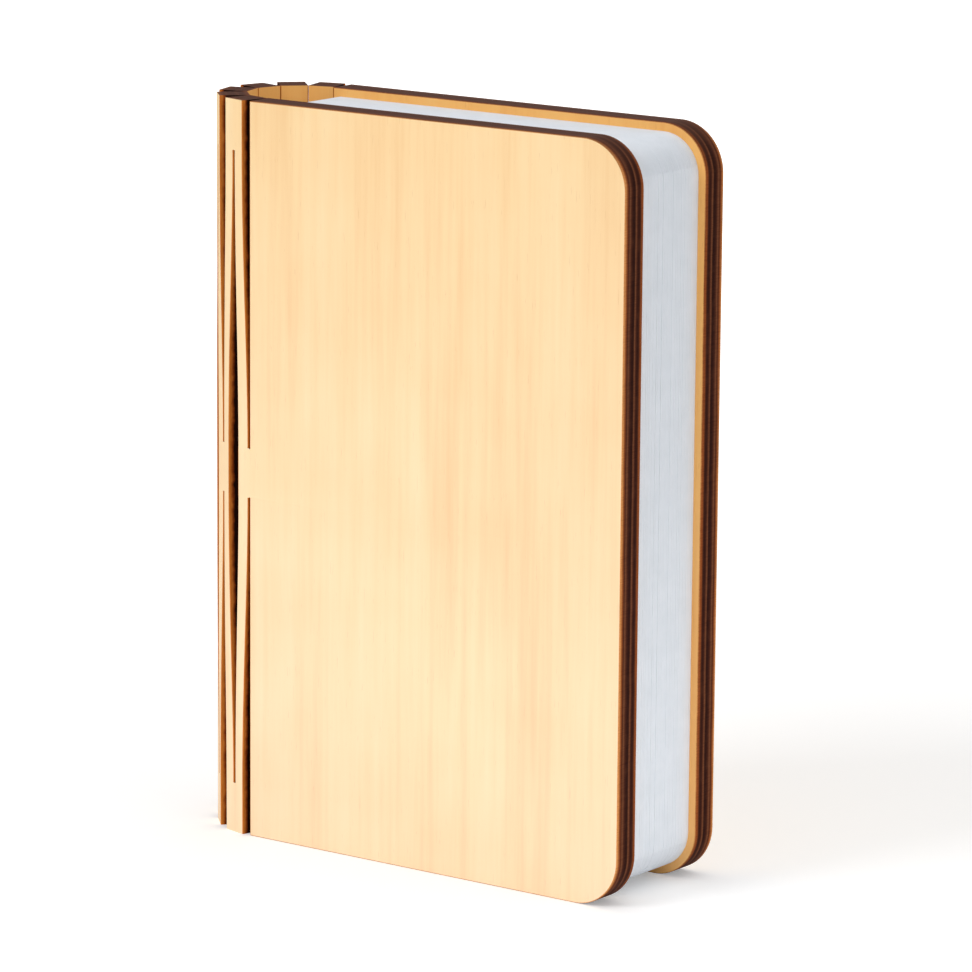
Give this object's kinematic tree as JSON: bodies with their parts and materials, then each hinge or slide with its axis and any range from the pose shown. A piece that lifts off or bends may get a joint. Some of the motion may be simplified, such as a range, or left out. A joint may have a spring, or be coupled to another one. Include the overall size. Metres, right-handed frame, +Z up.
{
  "type": "folding book lamp",
  "caption": "Book-shaped lamp: two plywood covers on a laser-cut living hinge open a pleated paper block round a light bar in the spine.",
  "frame": {"origin": "middle of the closed book's foot, at the bottom centre of its box", "axes": "+X from the spine to the fore-edge, +Y from the front cover to the back cover, +Z up the spine"},
  "size_m": [0.0874, 0.0272, 0.122],
  "materials": {
    "plywood": "sanded birch plywood with laser-charred edges",
    "paper": "matte spun-fibre paper",
    "magnet_nickel": "nickel plated",
    "socket_steel": "plated steel",
    "frosted_diffuser": "frosted",
    "white_housing": "fine matte",
    "foam_tape": "foam",
    "circuit_board": "solder mask",
    "white_circuit_board": "white solder mask",
    "led": "phosphor",
    "cell_foil": "laminated foil",
    "reed_glass": "clear"
  },
  "bodies": {
    "front_cover": {"front_cover": "plywood", "front_magnet_bottom": "magnet_nickel", "front_magnet_top": "magnet_nickel", "switch_magnet": "magnet_nickel", "page_00": "paper"},
    "slat_1": {"spine_slat_1": "plywood", "page_01": "paper"},
    "bridge_1": {"spine_bridge_1": "plywood", "page_02": "paper"},
    "slat_2": {"spine_slat_2": "plywood", "page_03": "paper"},
    "bridge_2": {"spine_bridge_2": "plywood", "page_04": "paper"},
    "slat_3": {"spine_slat_3": "plywood", "page_05": "paper"},
    "bridge_3": {"spine_bridge_3": "plywood", "light_housing": "white_housing", "light_diffuser": "frosted_diffuser", "end_cap_bottom": "white_housing", "end_cap_top": "white_housing", "adhesive_pad": "foam_tape", "charge_board": "circuit_board", "led_board": "white_circuit_board", "led_1": "led", "led_2": "led", "led_3": "led", "led_4": "led", "led_5": "led", "led_6": "led", "battery_cell": "cell_foil", "usb_socket": "socket_steel", "reed_switch": "reed_glass", "page_06": "paper"},
    "slat_4": {"spine_slat_4": "plywood", "page_07": "paper"},
    "bridge_4": {"spine_bridge_4": "plywood", "page_08": "paper"},
    "slat_5": {"spine_slat_5": "plywood", "page_09": "paper"},
    "bridge_5": {"spine_bridge_5": "plywood", "page_10": "paper"},
    "slat_6": {"spine_slat_6": "plywood", "page_11": "paper"},
    "back_cover": {"back_cover": "plywood", "back_magnet_bottom": "magnet_nickel", "back_magnet_top": "magnet_nickel", "page_12": "paper"}
  },
  "joints": [
    {"name": "hinge_12", "type": "hinge", "parent": "back_cover", "child": "slat_6", "pos_m": [-0.03157, 0.011, 0.061], "axis": [0, 0, -1], "range_deg": [0, 30], "deforming": ["spine_slat_6"]},
    {"name": "hinge_11", "type": "hinge", "parent": "slat_6", "child": "bridge_5", "pos_m": [-0.03436, 0.01025, 0.061], "axis": [0, 0, -1], "range_deg": [0, 30]},
    {"name": "hinge_10", "type": "hinge", "parent": "bridge_5", "child": "slat_5", "pos_m": [-0.03687, 0.0088, 0.061], "axis": [0, 0, -1], "range_deg": [0, 30], "deforming": ["spine_slat_5"]},
    {"name": "hinge_9", "type": "hinge", "parent": "slat_5", "child": "bridge_4", "pos_m": [-0.03892, 0.00675, 0.061], "axis": [0, 0, -1], "range_deg": [0, 30]},
    {"name": "hinge_8", "type": "hinge", "parent": "bridge_4", "child": "slat_4", "pos_m": [-0.04037, 0.00425, 0.061], "axis": [0, 0, -1], "range_deg": [0, 30], "deforming": ["spine_slat_4"]},
    {"name": "hinge_7", "type": "hinge", "parent": "slat_4", "child": "bridge_3", "pos_m": [-0.04112, 0.00145, 0.061], "axis": [0, 0, -1], "range_deg": [0, 30]},
    {"name": "hinge_6", "type": "hinge", "parent": "bridge_3", "child": "slat_3", "pos_m": [-0.04112, -0.00145, 0.061], "axis": [0, 0, -1], "range_deg": [0, 30], "deforming": ["spine_slat_3"]},
    {"name": "hinge_5", "type": "hinge", "parent": "slat_3", "child": "bridge_2", "pos_m": [-0.04037, -0.00425, 0.061], "axis": [0, 0, -1], "range_deg": [0, 30]},
    {"name": "hinge_4", "type": "hinge", "parent": "bridge_2", "child": "slat_2", "pos_m": [-0.03892, -0.00675, 0.061], "axis": [0, 0, -1], "range_deg": [0, 30], "deforming": ["spine_slat_2"]},
    {"name": "hinge_3", "type": "hinge", "parent": "slat_2", "child": "bridge_1", "pos_m": [-0.03687, -0.0088, 0.061], "axis": [0, 0, -1], "range_deg": [0, 30]},
    {"name": "hinge_2", "type": "hinge", "parent": "bridge_1", "child": "slat_1", "pos_m": [-0.03436, -0.01025, 0.061], "axis": [0, 0, -1], "range_deg": [0, 30], "deforming": ["spine_slat_1"]},
    {"name": "hinge_1", "type": "hinge", "parent": "slat_1", "child": "front_cover", "pos_m": [-0.03157, -0.011, 0.061], "axis": [0, 0, -1], "range_deg": [0, 30]}
  ],
  "couplings": [
    {"joint": "hinge_1", "follows": "hinge_12", "ratio": 1},
    {"joint": "hinge_2", "follows": "hinge_12", "ratio": 1},
    {"joint": "hinge_3", "follows": "hinge_12", "ratio": 1},
    {"joint": "hinge_4", "follows": "hinge_12", "ratio": 1},
    {"joint": "hinge_5", "follows": "hinge_12", "ratio": 1},
    {"joint": "hinge_6", "follows": "hinge_12", "ratio": 1},
    {"joint": "hinge_7", "follows": "hinge_12", "ratio": 1},
    {"joint": "hinge_8", "follows": "hinge_12", "ratio": 1},
    {"joint": "hinge_9", "follows": "hinge_12", "ratio": 1},
    {"joint": "hinge_10", "follows": "hinge_12", "ratio": 1},
    {"joint": "hinge_11", "follows": "hinge_12", "ratio": 1}
  ]
}
